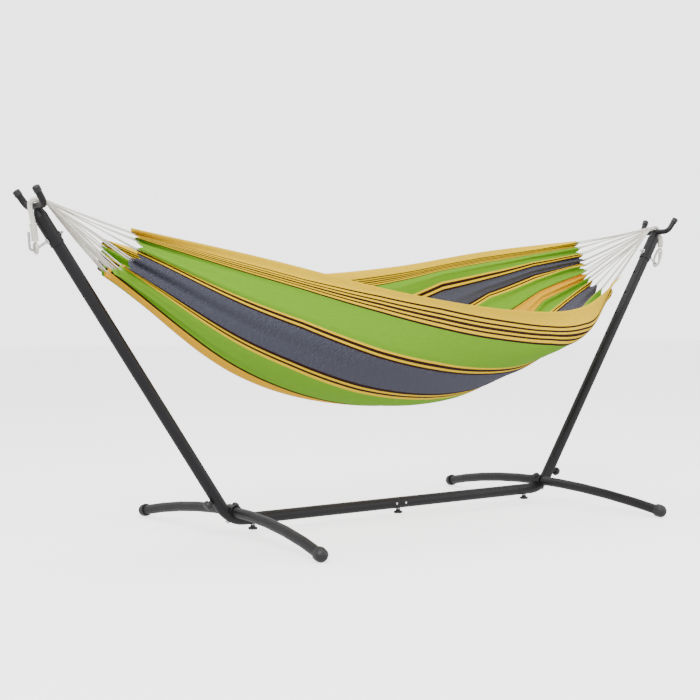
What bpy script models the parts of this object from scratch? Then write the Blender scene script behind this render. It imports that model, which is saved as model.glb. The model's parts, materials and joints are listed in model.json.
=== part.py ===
"""Double hammock hung between the raised ends of a bowed steel stand.

Metres, +Z up. X runs along the stand and the origin is on the floor under its middle. Each end of the
stand is modelled once, as the +X end, and its -X copy is the same end turned half round about Z.
"""

import math

import bmesh
import bpy
from mathutils import Matrix, Vector

# Main tube of the base, the elbows and the uprights
TUBE_DIAMETER = 0.040
TUBE_WALL = 0.0015
TUBE_SIDES = 16
SMALL_SIDES = 8
BOLT_SIDES = 10
ROUND_SIDES = 12  # of the feet, caps, domes and washers
KNOB_SIDES = 14
LEAN = math.radians(33.05)  # of an upright, from the vertical
CORNER_X = 0.684  # where an upright's axis meets the base's axis
BASE_HEIGHT = 0.051  # of the base's axis above the floor
BEND_RADIUS = 0.1035
ELBOW_LEG = 0.070  # straight stretch of the elbow along the base
ELBOW_NECK = 0.074  # straight stretch of the elbow up the upright
SPIGOT_LENGTH = 0.056
UPRIGHT_LENGTH = 1.150  # from the corner to the upright's open top

# Fits
GAP = 0.0003  # between pieces that touch
WELD = 5e-6  # between points that are one
SHARP_ANGLE = math.radians(35)
SLIP = 0.0005  # radial room of a tube inside a tube
BOLT_ROOM = 0.0004  # radial room of a bolt in its hole

# Bowed foot
FOOT_DIAMETER = 0.0344
FOOT_BACK = 0.012  # from the corner, to where the foot crosses the elbow
FOOT_HEIGHT = 0.080
FOOT_BOW = 0.0375  # how far the tips stand out past the middle
FOOT_REACH = 0.583  # sideways, to the centre of a cap
FOOT_SPANS = 10
CAP_DIAMETER = 0.0452
CAP_SKIRT = 0.016
CAP_FLAT = 0.0006  # depth of the flat moulded under a cap
COLLAR_LENGTH = 0.048
COLLAR_WALL = 0.0040
FOOT_BOLT_RADIUS = 0.004
DOME_RADIUS = 0.0122
DOME_HEIGHT = 0.0088
DOME_SKIRT = 0.0030

# Height holes and the hook's bracket
HOLE_COUNT = 6
HOLE_ROOM = 0.0005
PLUG_LENGTH = 0.014
HOLE_PITCH = 0.0986
TOP_HOLE_DROP = 0.068  # of the top hole, from the upright's open top
BRACKET_LAP = 0.092  # of the bracket over the upright
BRACKET_WALL = 0.0020
BRACKET_NECK_RISE = 0.008  # past the upright's top
FORK_STEM = 0.038  # of the crossbar's axis, past the upright's top
FORK_OUT = -0.006  # and outwards of the upright's axis
FORK_DIAMETER = 0.0212
FORK_HALF_WIDTH = 0.069
FORK_BEND = 0.022
FORK_PRONG = 0.0585
FORK_SPREAD = math.radians(11)
FORK_CAP_WALL = 0.0012
FORK_CAP_LENGTH = 0.016

# Hook bolt, its washers and wing nut
BOLT_RADIUS = 0.004
WASHER_RADIUS = 0.0105
WASHER_THICKNESS = 0.0018
WING_HUB = 0.0065
WING_SPAN = 0.024
WING_HEIGHT = 0.0082
WING_THICKNESS = 0.0028
HOOK_REACH = 0.088  # corner of the hook, from the upright's axis
HOOK_TURN = math.radians(119.5)
HOOK_LEG = 0.062
HOOK_BEND = 0.010

# Locking knob
KNOB_UP = 0.090
KNOB_RADIUS = 0.016
KNOB_BOSS = 0.009
KNOB_HEIGHT = 0.016
STUD_RADIUS = 0.004
STUD_SPARE = 0.008  # of a stud, past what it is screwed into

# Levelling feet
GLIDE_BACK = 0.087  # of the outer levelling feet, from the corner
PAD_RADIUS = 0.016
PAD_HEIGHT = 0.0095
PAD_BOTTOM = 0.0135
PAD_NECK = 0.0075
NECK_ROOM = 0.0016  # between the pad's neck and the insert
GLIDE_STUD = 0.004
INSERT_BORE = 0.0068
INSERT_RADIUS = INSERT_BORE - BOLT_ROOM
INSERT_RIM = 0.0028
INSERT_FLANGE = 0.0012
INSERT_LENGTH = 0.014

# Base joint
SLEEVE_LENGTH = 0.150
SCREW_X = 0.020
SCREW_RADIUS = 0.0025
SCREW_HEAD = 0.0048
SCREW_LENGTH = 0.009

# Hammock
SWING_LIFT = 0.001352  # of the line the hammock swings about, above the crossbar
THROAT_BACK = 0.003471  # from the crossbar, to where the cords come off it
THROAT_RADIUS = 0.011
THROAT_LENGTH = 0.023
CLOTH_THROAT_X = 1.3128
THROAT_TAPER = 0.9
THROAT_FILL = 0.72  # of its radius, taken up by the cords where they enter it
FAN_TURN = math.radians(230)
FAN_COLUMNS = 2
BED_COLUMNS = 16
BED_ROWS = 8
CLOTH_THICKNESS = 0.004
FAN_THICKNESS = 0.003
FAN_GAP = 0.0012  # between the cords and the hems they are tied in
NECK_RADIUS = 0.0078
NECK_START = 0.0026  # of the neck's narrow end, from the throat
WHIPPING_RADIUS = 0.0113
ROPE_RADIUS = 0.0045  # of the eye's rope
EYE_SPANS = 12


def clear_scene():
    for item in list(bpy.data.objects):
        bpy.data.objects.remove(item, do_unlink=True)


def finish(name, color, roughness, metallic):
    made = bpy.data.materials.new(name)
    made.use_nodes = True
    shader = made.node_tree.nodes["Principled BSDF"]
    shader.inputs["Base Color"].default_value = (*color, 1)
    shader.inputs["Roughness"].default_value = roughness
    shader.inputs["Metallic"].default_value = metallic
    return made


def add_object(name, mesh, parent=None, matrix=None):
    made = bpy.data.objects.new(name, mesh)
    bpy.context.scene.collection.objects.link(made)
    made.parent = parent
    if matrix is not None:
        made.matrix_local = matrix
    return made


def add_empty(name, parent=None, location=(0, 0, 0), rotation=(0, 0, 0)):
    made = bpy.data.objects.new(name, None)
    bpy.context.scene.collection.objects.link(made)
    made.parent = parent
    made.location = location
    made.rotation_euler = rotation
    return made


def mesh_from(bm, name, material):
    bmesh.ops.remove_doubles(bm, verts=bm.verts, dist=WELD)
    bmesh.ops.recalc_face_normals(bm, faces=bm.faces)
    mesh = bpy.data.meshes.new(name)
    bm.to_mesh(mesh)
    bm.free()
    mesh.materials.append(material)
    mesh.shade_smooth()
    mesh.set_sharp_from_angle(angle=SHARP_ANGLE)
    return mesh


def skin(bm, stations, sides):
    """Extrudes a circle from each round section to the next. Returns the first and last circle's edges."""
    frame, radius = stations[0]
    made = bmesh.ops.create_circle(bm, segments=sides, radius=radius, matrix=frame)["verts"]
    edges = list({edge for vert in made for edge in vert.link_edges})
    first = edges
    for following, next_radius in stations[1:]:
        made = bmesh.ops.extrude_edge_only(bm, edges=edges)["geom"]
        verts = [item for item in made if isinstance(item, bmesh.types.BMVert)]
        edges = [item for item in made if isinstance(item, bmesh.types.BMEdge) and item.is_boundary]
        shift = following @ Matrix.Scale(next_radius / radius, 4) @ frame.inverted()
        bmesh.ops.transform(bm, matrix=shift, verts=verts)
        frame, radius = following, next_radius
    return first, edges


def rod(bm, stations, sides):
    """A solid of round sections. Sections that turn back inside it leave a socket."""
    first, last = skin(bm, stations, sides)
    bmesh.ops.edgeloop_fill(bm, edges=first)
    bmesh.ops.edgeloop_fill(bm, edges=last)


def pipe(bm, outer, inner, sides):
    """A hollow bar, open at both ends, between two lists of round sections."""
    skin(bm, outer + inner[::-1] + outer[:1], sides)


def along_z(steps):
    """Sections square to Z, from (height, radius) pairs."""
    return [(Matrix.Translation((0, 0, height)), radius) for height, radius in steps]


def along_path(points, radii, closed=False):
    """Sections square to a path, turned so that none of them twists."""
    up = Vector((0, 1, 0))
    if abs(up.dot((points[1] - points[0]).normalized())) > 0.9:
        up = Vector((0, 0, 1))
    stations = []
    last = len(points) - 1
    for index, point in enumerate(points):
        ahead = points[(index + 1) % len(points)] - point
        behind = point - points[index - 1]
        if index == last and not closed:
            ahead = behind
        if index == 0 and not closed:
            behind = ahead
        tangent = (ahead.normalized() + behind.normalized()).normalized()
        side = up.cross(tangent).normalized()
        up = tangent.cross(side).normalized()
        turn = Matrix((side, up, tangent)).transposed().to_4x4()
        stations.append((Matrix.Translation(point) @ turn, radii[index]))
    return stations


def bent_path(start, corner, end, radius, steps):
    """A straight run, an arc that rounds the corner, and a straight run."""
    toward, away = (corner - start).normalized(), (end - corner).normalized()
    turn = toward.angle(away)
    tangent = radius * math.tan(turn / 2)
    inward = (away - toward).normalized()
    centre = corner + inward * (radius / math.cos(turn / 2))
    first = corner - toward * tangent
    axis = toward.cross(away).normalized()
    points = [start]
    for step in range(steps + 1):
        spin = Matrix.Rotation(turn * step / steps, 3, axis)
        points.append(centre + spin @ (first - centre))
    points.append(end)
    return points


def drill(target, name, parent, holes, sides=SMALL_SIDES):
    """Cuts round holes, each a (frame, radius, length) centred on its frame's origin."""
    bm = bmesh.new()
    for frame, radius, length in holes:
        bmesh.ops.create_cone(
            bm, cap_ends=True, segments=sides, radius1=radius, radius2=radius, depth=length, matrix=frame
        )
    cut(target, name, parent, bm)


def cut(target, name, parent, bm):
    """Takes the shape in bm out of the target."""
    bmesh.ops.recalc_face_normals(bm, faces=bm.faces)
    mesh = bpy.data.meshes.new(name)
    bm.to_mesh(mesh)
    bm.free()
    combine(target, add_object(name, mesh, parent), "DIFFERENCE")


def combine(target, other, operation):
    other.hide_render = True
    other.display_type = "WIRE"
    made = target.modifiers.new(other.name, "BOOLEAN")
    made.operation = operation
    made.solver = "EXACT"
    made.object = other


ACROSS_X = Matrix.Rotation(math.pi / 2, 4, "Y")
ACROSS_Y = Matrix.Rotation(math.pi / 2, 4, "X")
TUBE_RADIUS = TUBE_DIAMETER / 2
TUBE_BORE = TUBE_RADIUS - TUBE_WALL
SPIGOT_RADIUS = TUBE_BORE - SLIP
SPIGOT_BORE = SPIGOT_RADIUS - TUBE_WALL
BEND_TANGENT = BEND_RADIUS * math.tan((math.pi / 2 - LEAN) / 2)
ELBOW_END_X = CORNER_X - BEND_TANGENT - ELBOW_LEG
ELBOW_TOP = BEND_TANGENT + ELBOW_NECK
UPRIGHT_WAY = Vector((math.sin(LEAN), 0, math.cos(LEAN)))
CORNER = Vector((CORNER_X, 0, BASE_HEIGHT))
UNDERSIDE = BASE_HEIGHT - TUBE_RADIUS
FOOT_RADIUS = FOOT_DIAMETER / 2
FOOT_X = CORNER_X - FOOT_BACK
GLIDE_X = CORNER_X - GLIDE_BACK
CAP_RADIUS = CAP_DIAMETER / 2
COLLAR_BORE = FOOT_RADIUS + 2 * SLIP  # the foot bows a little inside it
COLLAR_RADIUS = COLLAR_BORE + COLLAR_WALL
BRACKET_BORE = TUBE_RADIUS + GAP
BRACKET_RADIUS = BRACKET_BORE + BRACKET_WALL
FORK_RADIUS = FORK_DIAMETER / 2
TOP_HOLE = UPRIGHT_LENGTH - TOP_HOLE_DROP
BRACKET_START = UPRIGHT_LENGTH - BRACKET_LAP
BRACKET_NECK = UPRIGHT_LENGTH + BRACKET_NECK_RISE
FORK_RISE = UPRIGHT_LENGTH + FORK_STEM
THROUGH_WALL = 8 * TUBE_WALL  # length of a cutter for one wall
THROUGH_TUBE = 1.4 * TUBE_DIAMETER  # and for both


def upright_frame(up=0.0, out=0.0):
    """On an upright's axis, Z up the upright and X square to it, pointing outwards and down."""
    return Matrix.Translation(CORNER) @ Matrix.Rotation(LEAN, 4, "Y") @ Matrix.Translation((out, 0, up))


CROSSBAR = upright_frame(FORK_RISE, FORK_OUT).translation
SWING_HEIGHT = CROSSBAR.z + FORK_RADIUS + SWING_LIFT
THROAT_X = CROSSBAR.x - FORK_RADIUS - THROAT_BACK
BEND_CENTRE = Vector((CORNER_X - BEND_TANGENT, 0, BASE_HEIGHT + BEND_RADIUS))
FOOT_MIDDLE = Vector((FOOT_X, 0, FOOT_HEIGHT))
CLAMP_WAY = (FOOT_MIDDLE - BEND_CENTRE).normalized()  # of the foot's bolt, out of the bend
FOOT_OUT = (FOOT_MIDDLE - BEND_CENTRE).length


def clamp_frame(distance):
    """On the foot bolt's axis, at a distance out from the bend's centre, with Z pointing outwards."""
    turn = math.atan2(CLAMP_WAY.x, CLAMP_WAY.z)
    return Matrix.Translation(BEND_CENTRE + CLAMP_WAY * distance) @ Matrix.Rotation(turn, 4, "Y")


def elbow_route():
    start = Vector((ELBOW_END_X, 0, BASE_HEIGHT))
    return bent_path(start, CORNER, CORNER + UPRIGHT_WAY * ELBOW_TOP, BEND_RADIUS, 6)


def elbow_space(radius):
    """A solid along the elbow, which is cut from what is saddled on it."""
    route = elbow_route()
    bm = bmesh.new()
    rod(bm, along_path(route, [radius] * len(route)), TUBE_SIDES)
    return bm


def build_base(steel):
    """Two straight tubes butted over an inner sleeve, each with a narrowed end for its elbow."""
    step = ELBOW_END_X - GAP
    tip = ELBOW_END_X + SPIGOT_LENGTH
    glide = Matrix.Translation((0, 0, UNDERSIDE))
    for name, way in (("left", -1), ("right", 1)):
        bm = bmesh.new()
        outer = along_z(((GAP / 2, TUBE_RADIUS), (step, TUBE_RADIUS), (step, SPIGOT_RADIUS),
                         (tip, SPIGOT_RADIUS)))
        inner = along_z(((GAP / 2, TUBE_BORE), (step - TUBE_WALL, TUBE_BORE),
                         (step - TUBE_WALL, SPIGOT_BORE), (tip, SPIGOT_BORE)))
        pipe(bm, outer, inner, TUBE_SIDES)
        place = Matrix.Translation((0, 0, BASE_HEIGHT)) @ Matrix.Rotation(way * math.pi / 2, 4, "Y")
        tube = add_object("base_tube_" + name, mesh_from(bm, "base_tube_" + name, steel), None, place)
        screw = Matrix.Translation((way * SCREW_X, -TUBE_RADIUS, BASE_HEIGHT)) @ ACROSS_Y
        holes = [(screw, SCREW_RADIUS + BOLT_ROOM, THROUGH_WALL), (glide, INSERT_BORE, THROUGH_WALL)]
        holes.append((Matrix.Translation((way * GLIDE_X, 0, 0)) @ glide, INSERT_BORE, THROUGH_WALL))
        drill(tube, "base_tube_holes_" + name, None, holes)

    half = SLEEVE_LENGTH / 2
    radius = TUBE_BORE - SLIP
    bm = bmesh.new()
    pipe(bm, along_z(((-half, radius), (half, radius))),
         along_z(((-half, radius - TUBE_WALL), (half, radius - TUBE_WALL))), TUBE_SIDES)
    place = Matrix.Translation((0, 0, BASE_HEIGHT)) @ ACROSS_X
    sleeve = add_object("base_joint_sleeve", mesh_from(bm, "base_joint_sleeve", steel), None, place)
    holes = [(glide, INSERT_BORE, THROUGH_WALL)]
    for x in (-SCREW_X, SCREW_X):
        place = Matrix.Translation((x, -radius, BASE_HEIGHT)) @ ACROSS_Y
        holes.append((place, SCREW_RADIUS + GAP, THROUGH_WALL))
    drill(sleeve, "base_joint_sleeve_holes", None, holes)


def build_base_screws(zinc):
    """Pan head screws, driven from the front into the inner sleeve."""
    bm = bmesh.new()
    rod(bm, along_z(((-SCREW_LENGTH, SCREW_RADIUS), (0, SCREW_RADIUS), (0, SCREW_HEAD),
                     (0.4 * SCREW_HEAD, SCREW_HEAD), (0.65 * SCREW_HEAD, 0.6 * SCREW_HEAD))), SMALL_SIDES)
    mesh = mesh_from(bm, "base_joint_screw", zinc)
    for name, x in (("left", -SCREW_X), ("right", SCREW_X)):
        place = Matrix.Translation((x, -TUBE_RADIUS - GAP, BASE_HEIGHT)) @ ACROSS_Y
        add_object("base_joint_screw_" + name, mesh, None, place)


def build_glides(plastic, zinc):
    """Three screw feet: a threaded insert in the tube's underside, a stud, and a moulded pad on it."""
    bore = GLIDE_STUD + GAP
    stud_foot = PAD_BOTTOM + PAD_HEIGHT / 2
    insert_top = UNDERSIDE + INSERT_LENGTH
    for name, x in (("left", -GLIDE_X), ("centre", 0), ("right", GLIDE_X)):
        axis = Matrix.Translation((x, 0, 0))
        seat = UNDERSIDE - GAP
        bm = bmesh.new()
        rim = INSERT_RADIUS + INSERT_RIM
        outer = along_z(((seat - INSERT_FLANGE, rim), (seat, rim),
                         (seat, INSERT_RADIUS), (insert_top, INSERT_RADIUS)))
        pipe(bm, outer, along_z(((seat - INSERT_FLANGE, bore), (insert_top, bore))), SMALL_SIDES)
        add_object("levelling_insert_" + name, mesh_from(bm, "levelling_insert", zinc), None, axis)

        bm = bmesh.new()
        rod(bm, along_z(((stud_foot, GLIDE_STUD), (insert_top + STUD_SPARE, GLIDE_STUD))), 8)
        add_object("levelling_stud_" + name, mesh_from(bm, "levelling_stud", zinc), None, axis)

        top = PAD_BOTTOM + PAD_HEIGHT
        neck_top = seat - INSERT_FLANGE - NECK_ROOM
        outer = along_z(((PAD_BOTTOM, 0.88 * PAD_RADIUS), (PAD_BOTTOM + 0.15 * PAD_HEIGHT, PAD_RADIUS),
                         (PAD_BOTTOM + 0.7 * PAD_HEIGHT, PAD_RADIUS), (top, 1.2 * PAD_NECK),
                         (neck_top, PAD_NECK)))
        bm = bmesh.new()
        rod(bm, outer + along_z(((neck_top, bore), (stud_foot - GAP, bore))), SMALL_SIDES)
        add_object("levelling_pad_" + name, mesh_from(bm, "levelling_pad", plastic), None, axis)


def build_elbow(side, end, steel):
    """The bent tube that joins the base to an upright."""
    name = "elbow_" + side
    route = elbow_route()
    bm = bmesh.new()
    outer = along_path(route, [TUBE_RADIUS] * len(route))
    pipe(bm, outer, along_path(route, [TUBE_BORE] * len(route)), TUBE_SIDES)
    elbow = add_object(name, mesh_from(bm, name, steel), end)
    holes = [(clamp_frame(BEND_RADIUS), FOOT_BOLT_RADIUS + BOLT_ROOM, THROUGH_TUBE)]
    holes.append((upright_frame(KNOB_UP, TUBE_RADIUS) @ ACROSS_X, STUD_RADIUS + BOLT_ROOM, THROUGH_WALL))
    holes.append((Matrix.Translation((GLIDE_X, 0, UNDERSIDE)), INSERT_BORE, THROUGH_WALL))
    drill(elbow, name + "_holes", end, holes)


def foot_point(sideways):
    """The foot's centre line at a distance to one side of the stand."""
    share = sideways / FOOT_REACH
    drop = FOOT_HEIGHT - CAP_RADIUS + CAP_FLAT
    return Vector((FOOT_X + FOOT_BOW * share**2, sideways, FOOT_HEIGHT - drop * share**2))


def build_foot(side, end, front, steel, plastic):
    """One bowed tube, notched to sit down over the elbow, with a round-ended cap pushed on each tip."""
    name = "foot_" + side
    count = FOOT_SPANS
    route = [foot_point(FOOT_REACH * (2 * step / count - 1)) for step in range(count + 1)]
    bm = bmesh.new()
    bore = FOOT_RADIUS - TUBE_WALL
    pipe(bm, along_path(route, [FOOT_RADIUS] * len(route)), along_path(route, [bore] * len(route)), ROUND_SIDES)
    foot = add_object(name, mesh_from(bm, name, steel), end)
    cut(foot, name + "_notch", end, elbow_space(TUBE_RADIUS + GAP))
    drill(foot, name + "_hole", end,
          ((clamp_frame(FOOT_OUT - FOOT_RADIUS), FOOT_BOLT_RADIUS + BOLT_ROOM, THROUGH_WALL),))

    for where, way in (("front", front), ("rear", -front)):
        tip = foot_point(way * FOOT_REACH)
        outward = (tip - foot_point(way * 0.95 * FOOT_REACH)).normalized()
        frame = Matrix.Translation(tip) @ outward.to_track_quat("Z", "Y").to_matrix().to_4x4()
        mouth = FOOT_RADIUS + GAP
        steps = [(GAP, mouth), (-CAP_SKIRT, mouth), (-CAP_SKIRT, 0.94 * CAP_RADIUS),
                 (0.1 * CAP_SKIRT - CAP_SKIRT, CAP_RADIUS)]
        steps += [(CAP_RADIUS * math.sin(math.radians(turn)), CAP_RADIUS * math.cos(math.radians(turn)))
                  for turn in (0, 22, 45, 68)]
        bm = bmesh.new()
        rod(bm, along_z(steps), ROUND_SIDES)
        bmesh.ops.transform(bm, matrix=frame, verts=bm.verts)
        cap_name = "foot_cap_" + side + "_" + where
        cap = add_object(cap_name, mesh_from(bm, cap_name, plastic), end)
        bm = bmesh.new()
        floor = Matrix.Translation((tip.x, tip.y, -CAP_RADIUS)) @ Matrix.Scale(2 * CAP_RADIUS, 4)
        bmesh.ops.create_cube(bm, size=1, matrix=floor)
        cut(cap, cap_name + "_floor", end, bm)


def build_collar(side, end, steel):
    """The short ring welded in the elbow's corner, which the foot passes through."""
    name = "foot_collar_" + side
    half = COLLAR_LENGTH / 2
    bm = bmesh.new()
    pipe(bm, along_z(((-half, COLLAR_RADIUS), (half, COLLAR_RADIUS))),
         along_z(((-half, COLLAR_BORE), (half, COLLAR_BORE))), TUBE_SIDES)
    bmesh.ops.transform(bm, matrix=Matrix.Translation(FOOT_MIDDLE) @ ACROSS_Y, verts=bm.verts)
    collar = add_object(name, mesh_from(bm, name, steel), end)
    cut(collar, name + "_notch", end, elbow_space(TUBE_RADIUS + GAP))
    drill(collar, name + "_hole", end,
          ((clamp_frame(FOOT_OUT - COLLAR_BORE), FOOT_BOLT_RADIUS + BOLT_ROOM, THROUGH_WALL),))


def build_foot_bolt(side, end, zinc, plastic):
    """A bolt up through the elbow, the foot and the collar, with a domed nut saddled on the collar."""
    head = BEND_RADIUS + TUBE_RADIUS + GAP
    crown = FOOT_OUT - COLLAR_RADIUS - GAP
    tip = crown - 0.5 * DOME_HEIGHT
    bm = bmesh.new()
    rod(bm, along_z(((tip, FOOT_BOLT_RADIUS), (head, FOOT_BOLT_RADIUS), (head, 1.9 * FOOT_BOLT_RADIUS),
                     (head + FOOT_BOLT_RADIUS, 1.9 * FOOT_BOLT_RADIUS),
                     (head + 1.25 * FOOT_BOLT_RADIUS, 1.5 * FOOT_BOLT_RADIUS))), BOLT_SIDES)
    add_object("foot_bolt_" + side, mesh_from(bm, "foot_bolt", zinc), end, clamp_frame(0))

    skirt = crown + DOME_SKIRT
    socket = FOOT_BOLT_RADIUS + GAP
    steps = [(tip - GAP, socket), (skirt, socket), (skirt, DOME_RADIUS), (crown, DOME_RADIUS)]
    for turn in (25, 48, 70):
        angle = math.radians(turn)
        steps.append((crown - DOME_HEIGHT * math.sin(angle), DOME_RADIUS * math.cos(angle)))
    bm = bmesh.new()
    rod(bm, along_z(steps), ROUND_SIDES)
    bmesh.ops.transform(bm, matrix=clamp_frame(0), verts=bm.verts)
    nut = add_object("dome_nut_" + side, mesh_from(bm, "dome_nut_" + side, plastic), end)
    saddle = Matrix.Translation(FOOT_MIDDLE) @ ACROSS_Y
    drill(nut, "dome_nut_saddle_" + side, end, ((saddle, COLLAR_RADIUS + GAP, COLLAR_LENGTH),), TUBE_SIDES)


def build_upright(side, end, steel, plastic):
    """A straight tube with a row of height holes, its narrowed foot inside the elbow's neck."""
    name = "upright_" + side
    foot = ELBOW_TOP - SPIGOT_LENGTH
    step = ELBOW_TOP + GAP
    bm = bmesh.new()
    outer = along_z(((foot, SPIGOT_RADIUS), (step, SPIGOT_RADIUS), (step, TUBE_RADIUS),
                     (UPRIGHT_LENGTH, TUBE_RADIUS)))
    inner = along_z(((foot, SPIGOT_BORE), (step + TUBE_WALL, SPIGOT_BORE),
                     (step + TUBE_WALL, TUBE_BORE), (UPRIGHT_LENGTH, TUBE_BORE)))
    pipe(bm, outer, inner, TUBE_SIDES)
    upright = add_object(name, mesh_from(bm, name, steel), end, upright_frame())
    holes = [(upright_frame(TOP_HOLE - HOLE_PITCH * count) @ ACROSS_X, BOLT_RADIUS + HOLE_ROOM, THROUGH_TUBE)
             for count in range(HOLE_COUNT)]
    holes.append((upright_frame(KNOB_UP, SPIGOT_RADIUS) @ ACROSS_X, STUD_RADIUS + BOLT_ROOM, THROUGH_WALL))
    drill(upright, name + "_holes", end, holes)

    plug = TUBE_BORE - GAP
    top = UPRIGHT_LENGTH + GAP
    bm = bmesh.new()
    steps = ((UPRIGHT_LENGTH - PLUG_LENGTH, 0.96 * plug), (UPRIGHT_LENGTH - 0.8 * PLUG_LENGTH, plug),
             (top, plug), (top, TUBE_RADIUS - GAP), (top + TUBE_WALL, TUBE_RADIUS - GAP))
    rod(bm, along_z(steps), TUBE_SIDES)
    add_object("upright_cap_" + side, mesh_from(bm, "upright_cap", plastic), end, upright_frame())


def build_knob(side, end, plastic, zinc):
    """A round grip on a stud, screwed through the elbow's neck into the upright's narrowed foot."""
    seat = TUBE_RADIUS + 2 * GAP
    boss = seat + KNOB_BOSS
    top = boss + KNOB_HEIGHT
    axis = upright_frame(KNOB_UP) @ ACROSS_X
    socket = STUD_RADIUS + GAP
    stud_end = boss + 0.4 * KNOB_HEIGHT
    bm = bmesh.new()
    steps = ((stud_end + GAP, socket), (seat, socket), (seat, 0.52 * KNOB_RADIUS), (boss, 0.58 * KNOB_RADIUS),
             (boss, 0.9 * KNOB_RADIUS), (boss + 0.14 * KNOB_HEIGHT, KNOB_RADIUS),
             (top - 0.22 * KNOB_HEIGHT, KNOB_RADIUS), (top, 0.8 * KNOB_RADIUS))
    rod(bm, along_z(steps), KNOB_SIDES)
    add_object("lock_knob_" + side, mesh_from(bm, "lock_knob", plastic), end, axis)
    bm = bmesh.new()
    rod(bm, along_z(((SPIGOT_BORE - STUD_SPARE, STUD_RADIUS), (stud_end, STUD_RADIUS))), 8)
    add_object("lock_knob_stud_" + side, mesh_from(bm, "lock_knob_stud", zinc), end, axis)


def build_bracket(side, end, front, steel, plastic):
    """A sleeve over the upright's top, closed by a tapered neck that carries a U-shaped fork."""
    name = "hook_bracket_" + side
    bm = bmesh.new()
    stations = along_z(((UPRIGHT_LENGTH + 3 * TUBE_WALL, BRACKET_BORE), (BRACKET_START, BRACKET_BORE),
                        (BRACKET_START, BRACKET_RADIUS), (BRACKET_NECK, BRACKET_RADIUS)))
    stations.append((Matrix.Translation((FORK_OUT, 0, FORK_RISE - 0.5 * FORK_RADIUS)), 1.05 * FORK_RADIUS))
    rod(bm, stations, TUBE_SIDES)
    bracket = add_object(name, mesh_from(bm, name, steel), end, upright_frame())

    corner = Vector((FORK_OUT, FORK_HALF_WIDTH, FORK_RISE))
    tip = corner + Vector((0, math.sin(FORK_SPREAD), math.cos(FORK_SPREAD))) * FORK_PRONG
    half = bent_path(Vector((FORK_OUT, 0, FORK_RISE)), corner, tip, FORK_BEND, 4)
    route = [Vector((FORK_OUT, -point.y, point.z)) for point in reversed(half[1:])] + half
    bm = bmesh.new()
    rod(bm, along_path(route, [FORK_RADIUS] * len(route)), BOLT_SIDES)
    fork_mesh = mesh_from(bm, name + "_fork", steel)
    combine(bracket, add_object(name + "_fork", fork_mesh, end, upright_frame()), "UNION")
    drill(bracket, name + "_hole", end,
          ((upright_frame(TOP_HOLE) @ ACROSS_X, BOLT_RADIUS + HOLE_ROOM, 1.2 * THROUGH_TUBE),))

    for where, way in (("front", front), ("rear", -front)):
        tilt = Matrix.Rotation(-way * FORK_SPREAD, 4, "X")
        frame = upright_frame() @ Matrix.Translation((FORK_OUT, way * tip.y, tip.z)) @ tilt
        bore = FORK_RADIUS + GAP
        outer_radius = bore + FORK_CAP_WALL
        bm = bmesh.new()
        rod(bm, along_z(((GAP, bore), (-FORK_CAP_LENGTH, bore), (-FORK_CAP_LENGTH, outer_radius),
                         (GAP, outer_radius), (0.2 * outer_radius, 0.9 * outer_radius),
                         (0.34 * outer_radius, 0.6 * outer_radius))), TUBE_SIDES)
        add_object("fork_cap_" + side + "_" + where, mesh_from(bm, "fork_cap", plastic), end, frame)


def build_hook(side, end, zinc):
    """A hook bolt through bracket and upright, a washer each side, and a wing nut on its inner end."""
    seat = BRACKET_RADIUS + GAP
    nut_seat = -(seat + WASHER_THICKNESS + GAP)
    start = Vector((nut_seat - WING_HEIGHT - GAP, 0, 0))
    corner = Vector((HOOK_REACH, 0, 0))
    tip = corner + Vector((math.cos(HOOK_TURN), 0, math.sin(HOOK_TURN))) * HOOK_LEG
    route = bent_path(start, corner, tip, HOOK_BEND, 6)
    bm = bmesh.new()
    rod(bm, along_path(route, [BOLT_RADIUS] * len(route)), BOLT_SIDES)
    add_object("hook_bolt_" + side, mesh_from(bm, "hook_bolt", zinc), end, upright_frame(TOP_HOLE))

    axis = upright_frame(TOP_HOLE) @ ACROSS_X
    bore = BOLT_RADIUS + GAP
    for where, low in (("outer", seat), ("inner", -seat - WASHER_THICKNESS)):
        high = low + WASHER_THICKNESS
        bm = bmesh.new()
        rim = along_z(((low, WASHER_RADIUS), (high, WASHER_RADIUS)))
        pipe(bm, rim, along_z(((low, bore), (high, bore))), ROUND_SIDES)
        add_object("hook_washer_" + side + "_" + where, mesh_from(bm, "hook_washer", zinc), end, axis)

    name = "wing_nut_" + side
    bm = bmesh.new()
    rod(bm, along_z(((nut_seat - WING_HEIGHT, 0.78 * WING_HUB), (nut_seat, WING_HUB))), SMALL_SIDES)
    nut = add_object(name, mesh_from(bm, name, zinc), end, axis)
    bm = bmesh.new()
    wings = Matrix.Translation((0, 0, nut_seat - 0.62 * WING_HEIGHT))
    wings = wings @ Matrix.Diagonal((WING_THICKNESS, WING_SPAN, WING_HEIGHT, 1))
    bmesh.ops.create_cube(bm, size=1, matrix=wings)
    upper = [edge for edge in bm.edges if abs(edge.verts[0].co.y - edge.verts[1].co.y) < GAP
             and abs(edge.verts[0].co.z - edge.verts[1].co.z) < GAP]
    bmesh.ops.bevel(bm, geom=upper, offset=0.35 * WING_HEIGHT, offset_type="OFFSET", affect="EDGES",
                    segments=3, profile=0.5, material=-1)
    wing_mesh = mesh_from(bm, name + "_wings", zinc)
    combine(nut, add_object(name + "_wings", wing_mesh, end, axis), "UNION")
    seat = axis @ Matrix.Translation((0, 0, nut_seat))
    drill(nut, name + "_bore", end, ((seat, bore, 6 * WING_HEIGHT),), ROUND_SIDES)


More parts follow.
